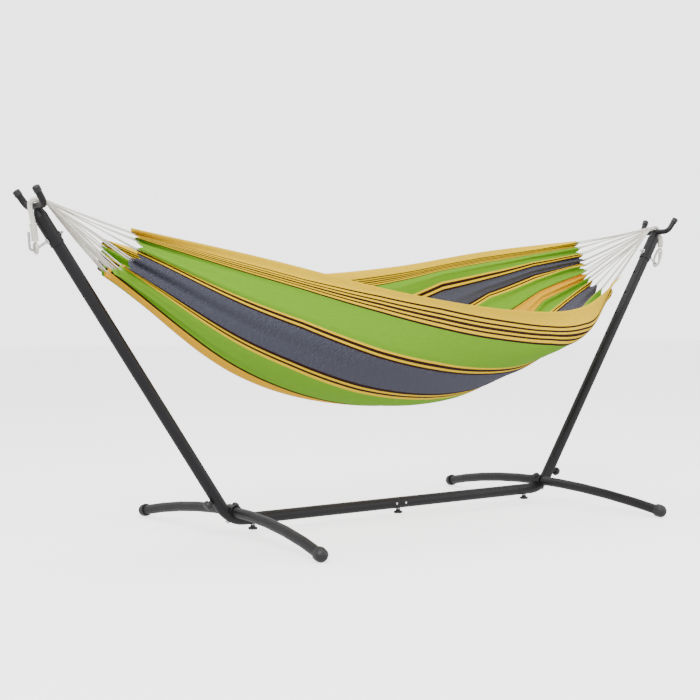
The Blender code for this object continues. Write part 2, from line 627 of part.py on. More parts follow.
# The cloth's shape at rest: from one end's hem to the other's, each line running from the front edge,
# down round the lowest part and up to the rear edge. X is for throats CLOTH_THROAT_X out, and Z is from the
# line that the hammock swings about.
CLOTH_SECTIONS = (
    ((-1.080, -0.122, -0.077), (-1.062, -0.122, -0.150), (-1.115, -0.060, -0.205),
     (-1.100, 0.070, -0.182), (-1.060, 0.128, -0.091)),
    ((-0.705, -0.255, -0.164), (-0.700, -0.235, -0.365), (-0.700, -0.060, -0.519),
     (-0.700, 0.140, -0.392), (-0.700, 0.215, -0.167)),
    ((-0.250, -0.360, -0.272), (-0.250, -0.330, -0.499), (-0.250, -0.090, -0.646),
     (-0.250, 0.180, -0.472), (-0.250, 0.270, -0.194)),
    ((0.200, -0.375, -0.331), (0.200, -0.320, -0.524), (0.200, -0.070, -0.627),
     (0.200, 0.190, -0.442), (0.200, 0.290, -0.159)),
    ((0.600, -0.310, -0.323), (0.600, -0.310, -0.430), (0.600, 0.000, -0.474),
     (0.600, 0.160, -0.360), (0.600, 0.225, -0.095)),
    ((1.021, -0.096, -0.192), (1.022, -0.030, -0.269), (1.009, 0.070, -0.194),
     (0.978, 0.062, -0.122), (0.966, 0.084, -0.050)),
)


def smooth_between(points, share):
    """A smooth curve through evenly spaced points, read at a share of its length."""
    place = share * (len(points) - 1)
    index = min(int(place), len(points) - 2)
    t = place - index
    first, second = Vector(points[index]), Vector(points[index + 1])
    before = Vector(points[index - 1]) if index else first * 2 - second
    after = Vector(points[index + 2]) if index + 2 < len(points) else second * 2 - first
    start, stop = (second - before) / 2, (after - first) / 2
    return (
        first * (2 * t**3 - 3 * t**2 + 1)
        + start * (t**3 - 2 * t**2 + t)
        + second * (3 * t**2 - 2 * t**3)
        + stop * (t**3 - t**2)
    )


def cloth_point(along, across):
    """On the cloth, from 0 to 1 along the stand and from 0 to 1 across, front to rear."""
    lines = [smooth_between([section[line] for section in CLOTH_SECTIONS], along) for line in range(5)]
    point = smooth_between(lines, across)
    return Vector((point.x * THROAT_X / CLOTH_THROAT_X, point.y, point.z + SWING_HEIGHT))


def sheet_object(name, point_at, columns, rows, thickness, material, parent, place):
    """A thin solid on a surface given as a function of two shares."""
    bm = bmesh.new()
    bmesh.ops.create_grid(bm, x_segments=columns, y_segments=rows, size=0.5)
    for vert in bm.verts:
        vert.co = point_at(vert.co.x + 0.5, vert.co.y + 0.5)
    sheet = add_object(name, mesh_from(bm, name, material), parent, place)
    thick = sheet.modifiers.new("thickness", "SOLIDIFY")
    thick.thickness = thickness
    thick.offset = 0
    return sheet


def build_cloth(cotton, cord):
    """The woven bed and, at each end, the cords that gather it into a throat, on one swing axis."""
    swing = add_empty("hammock_swing_axis", None, (0, 0, SWING_HEIGHT))
    below = Matrix.Translation((0, 0, -SWING_HEIGHT))
    sheet_object("hammock_bed", cloth_point, BED_COLUMNS, BED_ROWS, CLOTH_THICKNESS, cotton, swing, below)
    for side, way, along in (("left", -1, 0), ("right", 1, 1)):
        def fan_point(share, across, way=way, along=along):
            hem = cloth_point(along, across)
            turn = FAN_TURN * (across - 0.5)
            reach = THROAT_FILL * THROAT_RADIUS
            x = way * (THROAT_X - THROAT_LENGTH - GAP - FAN_THICKNESS / 2)
            throat = Vector((x, reach * math.sin(turn), SWING_HEIGHT - reach * math.cos(turn)))
            start = hem + (throat - hem).normalized() * FAN_GAP
            return start.lerp(throat, share)
        name = "harness_cords_" + side
        sheet_object(name, fan_point, FAN_COLUMNS, BED_ROWS, FAN_THICKNESS, cord, swing, below)
        bm = bmesh.new()
        ends = ((THROAT_X - THROAT_LENGTH, THROAT_RADIUS), (THROAT_X, THROAT_TAPER * THROAT_RADIUS))
        rod(bm, along_z(ends), SMALL_SIDES)
        place = Matrix.Rotation(way * math.pi / 2, 4, "Y")
        add_object("harness_throat_" + side, mesh_from(bm, "harness_throat", cord), swing, place)


def eye_object(name, centre, long_way, long_radius, short_radius, cord):
    """A closed rope ring, long one way."""
    sideways = long_way.normalized().cross(Vector((0, 1, 0))).cross(long_way.normalized())
    points = []
    for step in range(EYE_SPANS):
        turn = 2 * math.pi * step / EYE_SPANS
        points.append(centre + long_way.normalized() * long_radius * math.cos(turn)
                      + sideways.normalized() * short_radius * math.sin(turn))
    bm = bmesh.new()
    stations = along_path(points, [ROPE_RADIUS] * len(points), True)
    skin(bm, stations + stations[:1], SMALL_SIDES)
    return add_object(name, mesh_from(bm, name, cord))


def build_necks(cord):
    """The whipped rope bundle over each fork, and the eye under it that is hung on the hook bolt."""
    over = FORK_RADIUS + NECK_RADIUS + 3 * GAP
    for side, way, fall, whipping, eye in (
        ("left", -1,
         ((0.0181, -0.010, -0.0320), (0.0161, -0.014, -0.0530), (0.0131, -0.015, -0.0800), (0.0096, -0.013, -0.1068)),
         -0.054, ((0.0046, -0.004, -0.1258), (0.004, -0.012, 0.030), 0.0146, 0.0130)),
        ("right", 1, ((0.0206, -0.008, -0.0280), (0.0186, -0.011, -0.0460), (0.0171, -0.012, -0.0618)),
         -0.018, ((0.0076, -0.006, -0.1033), (0.019, -0.012, 0.070), 0.0370, 0.0158)),
    ):
        points = [Vector((THROAT_X + NECK_START, 0, SWING_HEIGHT))]
        for turn in (70, 90, 112, 134, 158, 184):
            angle = math.radians(turn)
            points.append(CROSSBAR + over * Vector((-math.cos(angle), 0, math.sin(angle))))
        points += [CROSSBAR + Vector(point) for point in fall]
        radii = [NECK_RADIUS if point.z > CROSSBAR.z + whipping else WHIPPING_RADIUS for point in points]
        radii[0] = 0.4 * NECK_RADIUS
        mirror = Matrix.Diagonal((way, 1, 1))
        bm = bmesh.new()
        rod(bm, along_path([mirror @ point for point in points], radii), SMALL_SIDES)
        add_object("harness_neck_" + side, mesh_from(bm, "harness_neck_" + side, cord))
        centre, long_way, long_radius, short_radius = eye
        eye_object("harness_eye_" + side, mirror @ (CROSSBAR + Vector(centre)), mirror @ Vector(long_way),
                   long_radius, short_radius, cord)


def build():
    clear_scene()
    steel = finish("charcoal_steel", (0.045, 0.042, 0.050), 0.45, 0.0)
    plastic = finish("black_plastic", (0.015, 0.015, 0.016), 0.45, 0.0)
    zinc = finish("bright_zinc", (0.72, 0.73, 0.74), 0.25, 1.0)
    cotton = finish("striped_cotton", (0.62, 0.42, 0.06), 0.9, 0.0)
    cord = finish("cream_cord", (0.78, 0.71, 0.55), 0.9, 0.0)
    build_base(steel)
    build_base_screws(zinc)
    build_glides(plastic, zinc)
    for side, turn, front in (("left", math.pi, 1), ("right", 0, -1)):
        end = add_empty(side + "_end", None, (0, 0, 0), (0, 0, turn))
        build_elbow(side, end, steel)
        build_foot(side, end, front, steel, plastic)
        build_collar(side, end, steel)
        build_foot_bolt(side, end, zinc, plastic)
        build_upright(side, end, steel, plastic)
        build_knob(side, end, plastic, zinc)
        build_bracket(side, end, front, steel, plastic)
        build_hook(side, end, zinc)
    build_cloth(cotton, cord)
    build_necks(cord)


build()
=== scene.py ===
"""Materials, cloth and cords of a striped double hammock on a steel stand."""

import json
import math

import bmesh
import bpy
import numpy as np
from mathutils import Matrix, Vector


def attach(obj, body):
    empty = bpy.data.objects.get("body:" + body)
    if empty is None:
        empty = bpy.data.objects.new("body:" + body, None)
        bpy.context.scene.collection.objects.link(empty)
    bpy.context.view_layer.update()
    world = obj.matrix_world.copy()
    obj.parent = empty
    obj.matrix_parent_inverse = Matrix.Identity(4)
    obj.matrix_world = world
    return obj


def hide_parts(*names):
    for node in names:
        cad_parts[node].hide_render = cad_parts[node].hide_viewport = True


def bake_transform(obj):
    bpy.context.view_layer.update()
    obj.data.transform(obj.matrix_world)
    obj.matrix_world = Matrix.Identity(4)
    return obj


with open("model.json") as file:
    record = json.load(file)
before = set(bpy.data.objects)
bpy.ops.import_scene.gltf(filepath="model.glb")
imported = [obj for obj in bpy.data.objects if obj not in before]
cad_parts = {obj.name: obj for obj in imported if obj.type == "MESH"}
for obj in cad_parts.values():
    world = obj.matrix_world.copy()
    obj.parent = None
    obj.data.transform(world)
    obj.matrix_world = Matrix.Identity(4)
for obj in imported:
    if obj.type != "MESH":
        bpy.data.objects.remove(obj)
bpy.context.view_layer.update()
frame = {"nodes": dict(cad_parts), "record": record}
nodes = frame["nodes"]


# Helpers: the shader nodes, smooth curves, grids and ropes that the sections below share.


def new_material(name, roughness, metallic=0.0):
    made = bpy.data.materials.new(name)
    made.use_nodes = True
    shader = made.node_tree.nodes["Principled BSDF"]
    shader.inputs["Roughness"].default_value = roughness
    shader.inputs["Metallic"].default_value = metallic
    return made, made.node_tree.nodes, made.node_tree.links.new, shader


def value_of(tree, link, operation, *inputs):
    """One Math node. Each input is a number or a socket."""
    made = tree.new("ShaderNodeMath")
    made.operation = operation
    for index, item in enumerate(inputs):
        if isinstance(item, (int, float)):
            made.inputs[index].default_value = item
        else:
            link(item, made.inputs[index])
    return made.outputs[0]


def noise_of(tree, link, vector, scale, detail=2.0, roughness=0.5):
    made = tree.new("ShaderNodeTexNoise")
    made.inputs["Scale"].default_value = scale
    made.inputs["Detail"].default_value = detail
    made.inputs["Roughness"].default_value = roughness
    if vector is not None:
        link(vector, made.inputs["Vector"])
    return made.outputs["Fac"]


def mix_of(tree, link, factor, first, second):
    """A colour between two, each a socket or (r, g, b)."""
    made = tree.new("ShaderNodeMix")
    made.data_type = "RGBA"
    for name, item in (("Factor", factor), ("A", first), ("B", second)):
        socket = [one for one in made.inputs if one.name == name and one.enabled][0]
        if isinstance(item, tuple):
            socket.default_value = (*item, 1)
        elif isinstance(item, (int, float)):
            socket.default_value = item
        else:
            link(item, socket)
    return [one for one in made.outputs if one.enabled][0]


def bump_of(tree, link, shader, height, distance, strength=1.0, rounding=0.0):
    """Bump on a shader. Rounding also softens the edges of the mesh by that radius."""
    made = tree.new("ShaderNodeBump")
    if rounding:
        soft = tree.new("ShaderNodeBevel")
        soft.samples = 6
        soft.inputs["Radius"].default_value = rounding
        link(soft.outputs["Normal"], made.inputs["Normal"])
    made.inputs["Distance"].default_value = distance
    made.inputs["Strength"].default_value = strength
    link(height, made.inputs["Height"])
    link(made.outputs["Normal"], shader.inputs["Normal"])


def through(points, shares):
    """A smooth curve through evenly spaced points, read at an array of shares of its length."""
    points = np.asarray(points, float)
    spans = len(points) - 1
    place = np.clip(shares, 0, 1) * spans
    index = np.minimum(place.astype(int), spans - 1)
    t = (place - index)[:, None]
    longer = np.vstack([2 * points[0] - points[1], points, 2 * points[-1] - points[-2]])
    before, first, second, after = (longer[index + step] for step in range(4))
    start, stop = (second - before) / 2, (after - first) / 2
    rise = 3 * t**2 - 2 * t**3
    return first * (1 - rise) + start * (t**3 - 2 * t**2 + t) + second * rise + stop * (t**3 - t**2)


def evenly(points, count, closed=False):
    """Points spread evenly along a smooth curve through a few points."""
    points = [Vector(point) for point in points]
    if closed:
        points = points + points[:1]
    fine = through(points, np.linspace(0, 1, 40 * len(points)))
    steps = np.linalg.norm(np.diff(fine, axis=0), axis=1)
    run = np.concatenate([[0], np.cumsum(steps)])
    places = np.linspace(0, run[-1], count)
    return np.stack([np.interp(places, run, fine[:, axis]) for axis in range(3)], axis=1), run[-1]


def grid_piece(name, points, material, uv, closed_around=False):
    """A mesh on a grid of points (rows, columns, 3), with its UV map (rows, columns, 2)."""
    rows, columns = points.shape[:2]
    bm = bmesh.new()
    layer = bm.loops.layers.uv.new("UVMap")
    made = [[bm.verts.new(points[row, column]) for column in range(columns)] for row in range(rows)]
    for row in range(rows - 1):
        for column in range(columns - 1):
            corners = ((row, column), (row, column + 1), (row + 1, column + 1), (row + 1, column))
            face = bm.faces.new([made[a][b] for a, b in corners])
            for loop, (a, b) in zip(face.loops, corners):
                loop[layer].uv = uv[a, b]
    if closed_around:
        bmesh.ops.remove_doubles(bm, verts=bm.verts, dist=1e-6)
        loops = [edge for edge in bm.edges if edge.is_boundary]
        if loops:
            bmesh.ops.holes_fill(bm, edges=loops, sides=0)
        bmesh.ops.recalc_face_normals(bm, faces=bm.faces)
    return mesh_piece(name, bm, material)


def mesh_piece(name, bm, material):
    mesh = bpy.data.meshes.new(name)
    bm.to_mesh(mesh)
    bm.free()
    mesh.materials.append(material)
    mesh.shade_smooth()
    piece = bpy.data.objects.new(name, mesh)
    bpy.context.scene.collection.objects.link(piece)
    return piece


def rope_grid(path, length, radius, sides):
    """Points and UVs of a round bar along a path. Its radius is a number, or an array along the path."""
    ahead = np.gradient(path, axis=0)
    ahead /= np.linalg.norm(ahead, axis=1)[:, None]
    side = np.cross(np.array([[0, 1.0, 0]]), ahead)
    side /= np.linalg.norm(side, axis=1)[:, None]
    other = np.cross(ahead, side)
    turn = np.linspace(0, 2 * math.pi, sides + 1)[None, :]
    along = np.linspace(0, length, len(path))[:, None]
    size = np.broadcast_to(np.asarray(radius, float).reshape(-1, 1), (len(path), 1))
    points = (
        path[:, None, :]
        + side[:, None, :] * (np.cos(turn) * size)[:, :, None]
        + other[:, None, :] * (np.sin(turn) * size)[:, :, None]
    )
    points[:, -1] = points[:, 0]
    uv = np.stack(np.broadcast_arrays(along, turn / (2 * math.pi)), axis=2)
    return points, uv


# Stand tubes, feet, brackets and hooks: steel, bent and welded, then powder coated charcoal. The coat is
# satin with a fine orange peel, a little cloudy, and slightly shinier where it has been rubbed.

steel, tree, link, shader = new_material("charcoal_powder_coat", 0.44)
where = tree.new("ShaderNodeTexCoord").outputs["Object"]
cloudy = noise_of(tree, link, where, 9.0, 4.0)
coat = mix_of(tree, link, cloudy, (0.0085, 0.0075, 0.0090), (0.016, 0.0145, 0.0170))
link(coat, shader.inputs["Base Color"])
worn = noise_of(tree, link, where, 38.0, 3.0)
link(value_of(tree, link, "MULTIPLY_ADD", worn, 0.20, 0.33), shader.inputs["Roughness"])
bump_of(tree, link, shader, noise_of(tree, link, where, 1500.0, 1.0), 0.00006, rounding=0.0045)
shader.inputs["Specular IOR Level"].default_value = 0.30

# Caps, pads, plugs, knobs and wing nuts: moulded black plastic, pressed on or screwed on. It is matt with a
# fine spark-eroded grain, and the moulded corners are rounded.
plastic, tree, link, shader = new_material("moulded_black_plastic", 0.5)
where = tree.new("ShaderNodeTexCoord").outputs["Object"]
patchy = noise_of(tree, link, where, 30.0)
link(mix_of(tree, link, patchy, (0.010, 0.010, 0.011), (0.020, 0.020, 0.021)), shader.inputs["Base Color"])
handled = noise_of(tree, link, where, 90.0)
link(value_of(tree, link, "MULTIPLY_ADD", handled, 0.18, 0.36), shader.inputs["Roughness"])
bump_of(tree, link, shader, noise_of(tree, link, where, 2600.0, 2.0), 0.00008, rounding=0.0035)

# Bolts, washers, dome nuts, screws and inserts: turned steel with bright zinc plating. They are screwed or
# pressed into the stand, and show faint tool marks under a cloudy passivation.
zinc, tree, link, shader = new_material("bright_zinc_plate", 0.26, 1.0)
where = tree.new("ShaderNodeTexCoord").outputs["Object"]
plated = noise_of(tree, link, where, 130.0, 3.0)
link(mix_of(tree, link, plated, (0.60, 0.62, 0.64), (0.80, 0.81, 0.82)), shader.inputs["Base Color"])
turned = noise_of(tree, link, where, 300.0)
link(value_of(tree, link, "MULTIPLY_ADD", turned, 0.22, 0.14), shader.inputs["Roughness"])
bump_of(tree, link, shader, noise_of(tree, link, where, 2200.0), 0.00004, rounding=0.0010)

for node, piece in nodes.items():
    slot = [one["material_slot"] for one in frame["record"]["subparts"] if one["node"] == node][0]
    better = {"charcoal_steel": steel, "black_plastic": plastic, "bright_zinc": zinc}.get(slot)
    if better:
        piece.material_slots[0].material = better


# Bed: one length of cotton woven in lengthwise stripes, the same on both faces. Each end is folded over and
# sewn into a row of tabs, and the cords through the tabs draw the whole width into deep pleats.

# Six places along the bed, each with five points from its near edge, under the cloth, to its far edge.
cloth_lines = (
    ((-1.080, -0.122, 0.985), (-1.062, -0.122, 0.912), (-1.115, -0.060, 0.857),
     (-1.100, 0.070, 0.880), (-1.060, 0.128, 0.971)),
    ((-0.705, -0.255, 0.898), (-0.700, -0.235, 0.697), (-0.700, -0.060, 0.543),
     (-0.700, 0.140, 0.670), (-0.700, 0.215, 0.895)),
    ((-0.250, -0.360, 0.790), (-0.250, -0.330, 0.563), (-0.250, -0.090, 0.416),
     (-0.250, 0.180, 0.590), (-0.250, 0.270, 0.868)),
    ((0.200, -0.375, 0.731), (0.200, -0.320, 0.538), (0.200, -0.070, 0.435),
     (0.200, 0.190, 0.620), (0.200, 0.290, 0.903)),
    ((0.600, -0.310, 0.739), (0.600, -0.310, 0.632), (0.600, 0.000, 0.588),
     (0.600, 0.160, 0.702), (0.600, 0.225, 0.967)),
    ((1.021, -0.096, 0.870), (1.022, -0.030, 0.793), (1.009, 0.070, 0.868),
     (0.978, 0.062, 0.940), (0.966, 0.084, 1.012)),
)
cloth_length = 2.25
tabs = 13

# Where the edges of the bands lie across the cloth, and what share of the bed's curve lies in front of each,
# at places along its length. The cloth is gathered unevenly, so the two differ.
band_edges = (0, 0.034, 0.093, 0.191, 0.216, 0.314, 0.340, 0.434, 0.566, 0.660, 0.686, 0.784, 0.809, 0.907,
              0.966, 1)
gathered = (
    (0.00, (0, 0.034, 0.068, 0.160, 0.185, 0.303, 0.337, 0.425,
            0.575, 0.663, 0.697, 0.815, 0.840, 0.932, 0.966, 1)),
    (0.26, (0, 0.033, 0.067, 0.159, 0.186, 0.305, 0.339, 0.435,
            0.570, 0.661, 0.695, 0.814, 0.841, 0.933, 0.967, 1)),
    (0.37, (0, 0.022, 0.072, 0.172, 0.200, 0.314, 0.352, 0.442,
            0.575, 0.665, 0.695, 0.815, 0.842, 0.933, 0.967, 1)),
    (0.47, (0, 0.021, 0.082, 0.178, 0.209, 0.318, 0.352, 0.445,
            0.590, 0.680, 0.705, 0.820, 0.850, 0.936, 0.970, 1)),
    (0.58, (0, 0.031, 0.094, 0.193, 0.223, 0.325, 0.358, 0.455,
            0.620, 0.700, 0.730, 0.840, 0.875, 0.943, 0.973, 1)),
    (0.70, (0, 0.046, 0.110, 0.215, 0.245, 0.360, 0.395, 0.490,
            0.660, 0.755, 0.785, 0.878, 0.915, 0.954, 0.976, 1)),
    (0.80, (0, 0.065, 0.138, 0.250, 0.280, 0.420, 0.455, 0.560,
            0.700, 0.799, 0.824, 0.874, 0.908, 0.950, 0.975, 1)),
    (0.90, (0, 0.100, 0.190, 0.330, 0.360, 0.515, 0.548, 0.635,
            0.707, 0.782, 0.820, 0.866, 0.895, 0.941, 0.970, 1)),
    (1.00, (0, 0.150, 0.240, 0.370, 0.390, 0.500, 0.515, 0.570,
            0.660, 0.740, 0.755, 0.820, 0.850, 0.930, 0.970, 1)),
)
rows, columns = ((190, 196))

lengthwise = np.linspace(0, 1, rows)
lines = [through([section[line] for section in cloth_lines], lengthwise) for line in range(5)]
lines = np.stack(lines, axis=1)
across = np.linspace(0, 1, columns)[None, :]
stations = [place for place, shares in gathered]
edges_at = zip(*(shares for place, shares in gathered))
edges_at = np.stack([np.interp(lengthwise, stations, edge) for edge in edges_at])
sheet = np.empty((rows, columns, 3))
for row in range(rows):
    fine = evenly(lines[row], 600)[0]
    shares = np.interp(across[0], band_edges, edges_at[:, row])
    for axis in range(3):
        sheet[row, :, axis] = np.interp(shares, np.linspace(0, 1, 600), fine[:, axis])
from_left = lengthwise[:, None] * 2.15
from_right = 2.15 - from_left

# Between the tabs the hem is cut back, so each tab stands out as a rounded tongue.
hem_cut = 0.024 * (1 - np.abs(np.sin(math.pi * tabs * across)) ** 0.6)
hem_cut = hem_cut * np.clip((0.5 - np.abs(across - 0.5)) / 0.05 - 0.3, 0, 1)
slope = np.gradient(sheet, axis=0)
slope /= np.linalg.norm(slope, axis=2)[:, :, None]
sheet = sheet + slope * (hem_cut * (np.exp(-from_left / 0.05) - np.exp(-from_right / 0.05)))[:, :, None]

# Pleats, deep at the tabs and running out into the bed as soft ridges of different lengths.
wander = across + 0.006 * np.sin(23 * across + 2 * lengthwise[:, None]) + 0.004 * np.sin(57 * across + 1.3)
pleat = np.cos(2 * math.pi * tabs * (wander - 0.5 / tabs)) + 0.35 * np.cos(4 * math.pi * tabs * wander + 0.7)
reach = 0.16 + 0.07 * np.sin(31 * across + 0.4) + 0.04 * np.sin(77 * across)
left_depth = 0.0105 * np.exp(-from_left / reach) + 0.0022 * np.exp(-from_left / 0.55)
right_depth = 0.0085 * np.exp(-from_right / reach) + 0.0026 * np.exp(-from_right / 0.60)
ridges = 0.004 * np.sin(2 * math.pi * (3.1 * across + 0.7 * lengthwise[:, None]) + 0.5)
ridges = ridges + 0.0028 * np.sin(2 * math.pi * (7.3 * across - 0.5 * lengthwise[:, None]) + 2.2)
ridges = ridges * np.sin(math.pi * lengthwise[:, None]) ** 0.5
normal = np.cross(np.gradient(sheet, axis=0), np.gradient(sheet, axis=1))
normal /= np.linalg.norm(normal, axis=2)[:, :, None]
sheet = sheet + normal * (pleat * (left_depth + right_depth) + ridges)[:, :, None]
uv = np.stack(np.broadcast_arrays(lengthwise[:, None] * cloth_length, across), axis=2)

cotton, tree, link, shader = new_material("striped_woven_cotton", 0.88)
place = tree.new("ShaderNodeUVMap").outputs["UV"]
split = tree.new("ShaderNodeSeparateXYZ")
link(place, split.inputs[0])
down_the_warp, over_the_width = split.outputs["X"], split.outputs["Y"]
folded = value_of(tree, link, "SUBTRACT", over_the_width, 0.5)
folded = value_of(tree, link, "SUBTRACT", 0.5, value_of(tree, link, "ABSOLUTE", folded))
yellow, amber = (0.93, 0.60, 0.010), (0.90, 0.47, 0.006)
brown, green, slate = (0.030, 0.009, 0.006), (0.185, 0.42, 0.020), (0.055, 0.055, 0.080)
stripes = tree.new("ShaderNodeValToRGB")
stripes.color_ramp.interpolation = "CONSTANT"
bands = [(0.0, yellow)]
bands += [(0.034 + 0.00656 * line, (brown, yellow)[line % 2]) for line in range(9)]
bands += [(0.093, green), (0.191, yellow), (0.197, brown), (0.2035, yellow), (0.2098, brown), (0.216, slate)]
bands += [(0.314, brown), (0.3205, yellow), (0.327, brown), (0.3335, yellow), (0.340, green)]
bands += [(0.434, brown), (0.440, amber)]
for index, (start, color) in enumerate(bands):
    stop = stripes.color_ramp.elements[index] if index < 2 else stripes.color_ramp.elements.new(start * 2)
    stop.position = start * 2
    stop.color = (*color, 1)
link(value_of(tree, link, "MULTIPLY", folded, 2.0), stripes.inputs["Fac"])

# Each thin stretch of warp is a little lighter or darker, and the slate bands are flecked with pale yarn.
# The weave itself is a fine twill, in the bump.
stretched = tree.new("ShaderNodeCombineXYZ")
link(value_of(tree, link, "MULTIPLY", down_the_warp, 30.0), stretched.inputs["X"])
link(value_of(tree, link, "MULTIPLY", over_the_width, 900.0), stretched.inputs["Y"])
yarn = noise_of(tree, link, stretched.outputs[0], 1.0, 3.0, 0.65)
fleck_place = tree.new("ShaderNodeCombineXYZ")
link(value_of(tree, link, "MULTIPLY", down_the_warp, 190.0), fleck_place.inputs["X"])
link(value_of(tree, link, "MULTIPLY", over_the_width, 620.0), fleck_place.inputs["Y"])
fleck = noise_of(tree, link, fleck_place.outputs[0], 1.0, 2.0, 0.6)
in_slate = value_of(tree, link, "GREATER_THAN", folded, 0.216)
in_slate = value_of(tree, link, "MULTIPLY", in_slate, value_of(tree, link, "LESS_THAN", folded, 0.314))
pale = value_of(tree, link, "MULTIPLY_ADD", fleck, 5.0, -2.35)
pale = value_of(tree, link, "SMOOTH_MIN", pale, 1.0, 0.1)
pale = value_of(tree, link, "MAXIMUM", pale, 0.0)
pale = value_of(tree, link, "MULTIPLY", value_of(tree, link, "MULTIPLY", pale, in_slate), 0.45)
colored = mix_of(tree, link, pale, stripes.outputs["Color"], (0.30, 0.31, 0.36))
dyed = tree.new("ShaderNodeHueSaturation")
link(colored, dyed.inputs["Color"])
link(value_of(tree, link, "MULTIPLY_ADD", yarn, 0.7, 0.66), dyed.inputs["Value"])
link(dyed.outputs["Color"], shader.inputs["Base Color"])
warp_ribs = value_of(tree, link, "MULTIPLY", over_the_width, 2 * math.pi * 620)
warp_ribs = value_of(tree, link, "SINE", warp_ribs)
weft = value_of(tree, link, "MULTIPLY", down_the_warp, 2 * math.pi * 520)
twill = value_of(tree, link, "MULTIPLY", over_the_width, 2 * math.pi * 310)
twill = value_of(tree, link, "ADD", weft, twill)
woven = value_of(tree, link, "ADD", warp_ribs, value_of(tree, link, "SINE", twill))
woven = value_of(tree, link, "ADD", woven, value_of(tree, link, "MULTIPLY", yarn, 2.0))
bump_of(tree, link, shader, woven, 0.00022, 0.7)
shader.inputs["Sheen Weight"].default_value = 0.04
shader.inputs["Sheen Roughness"].default_value = 0.5
shader.inputs["Specular IOR Level"].default_value = 0.08

bed = grid_piece("woven_bed", sheet, cotton, uv)
thick = bed.modifiers.new("cloth_thickness", "SOLIDIFY")
thick.thickness = 0.0016
thick.offset = 0
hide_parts("hammock_bed")
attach(bed, "hammock")


# Harness cords: laid cream cotton cord. Two run from every tab to the throat, where all of them close into
# one bundle, and each is tied at both ends.
swing_height = 1.062
cord_radius = 0.0021
throat_inner, throat_outer = 1.290, 1.3128

cord_cotton, tree, link, shader = new_material("cream_cotton_cord", 0.85)
place = tree.new("ShaderNodeUVMap").outputs["UV"]
split = tree.new("ShaderNodeSeparateXYZ")
link(place, split.inputs[0])
lay = value_of(tree, link, "MULTIPLY", split.outputs["X"], 2 * math.pi / 0.0055)
winding = value_of(tree, link, "MULTIPLY", split.outputs["Y"], 4 * math.pi)
lay = value_of(tree, link, "SINE", value_of(tree, link, "ADD", lay, winding))
where = tree.new("ShaderNodeTexCoord").outputs["Object"]
fuzz = noise_of(tree, link, where, 420.0, 3.0)
# The colour mixes a random fuzz tone with painted shade: the cord is darkened to brown along the grooves of
# its lay, between the strands and between the whipping's turns.
fuzz_and_painted_groove_shade = value_of(tree, link, "MULTIPLY_ADD", fuzz, 0.6, 0.3)
fuzz_and_painted_groove_shade = value_of(tree, link, "MULTIPLY_ADD", lay, 0.16, fuzz_and_painted_groove_shade)
link(mix_of(tree, link, fuzz_and_painted_groove_shade, (0.62, 0.56, 0.46), (0.93, 0.90, 0.83)), shader.inputs["Base Color"])
bump_of(tree, link, shader, value_of(tree, link, "ADD", lay, fuzz), 0.0003)
shader.inputs["Sheen Weight"].default_value = 0.08
shader.inputs["Specular IOR Level"].default_value = 0.2


def merged(name, parts, material):
    """Several grids of points and UVs as one mesh."""
    bm = bmesh.new()
    for points, uvs in parts:
        piece = grid_piece("part", points, material, uvs, True)
        bm.from_mesh(piece.data)
        bpy.data.objects.remove(piece)
    return mesh_piece(name, bm, material)


for side, way, end_row in (("left", -1, 0), ("right", 1, rows - 1)):
    parts = []
    count = 2 * tabs
    for index in range(count):
        share = (index // 2 + 0.5) / tabs + (index % 2 - 0.5) * 0.016
        hem = Vector(sheet[end_row, round(share * (columns - 1))])
        inward = Vector(slope[end_row, round(share * (columns - 1))]) * (0.012 if side == "left" else -0.012)
        turn = math.radians(250) * (share - 0.5)
        spread = 0.0080 if index % 2 else 0.0052
        bundle = Vector((way * throat_inner, spread * math.sin(turn), swing_height - spread * math.cos(turn)))
        sag = Vector((0, 0, -0.004 * math.sin(7.1 * index)))
        near_hem = hem + (bundle - hem) * 0.04
        path, length = evenly((hem + inward, near_hem, (hem + bundle) / 2 + sag, bundle), 16)
        parts.append(rope_grid(path, length, cord_radius, 8))
    fan = merged("harness_cords_" + side + "_strands", parts, cord_cotton)
    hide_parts("harness_cords_" + side)
    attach(fan, "hammock")


# Necks, whippings and eyes: the cords go on as one bundle, a core and six strands round it in a slow twist.
# It lies over the fork between its prongs, is whipped with the same cord, and ends in an eye of rope that
# hangs on the hook bolt.
crossbar = Vector((1.3276, 0, 1.0501))
over = 0.0192
falls = {
    "left": ((1.3450, -0.010, 1.018), (1.3430, -0.014, 0.997), (1.3400, -0.015, 0.970),
             (1.3365, -0.013, 0.9440)),
    "right": ((1.3475, -0.008, 1.022), (1.3455, -0.011, 1.004), (1.3440, -0.012, 0.9890)),
}
whipped_from = {"left": 0.998, "right": 1.034}

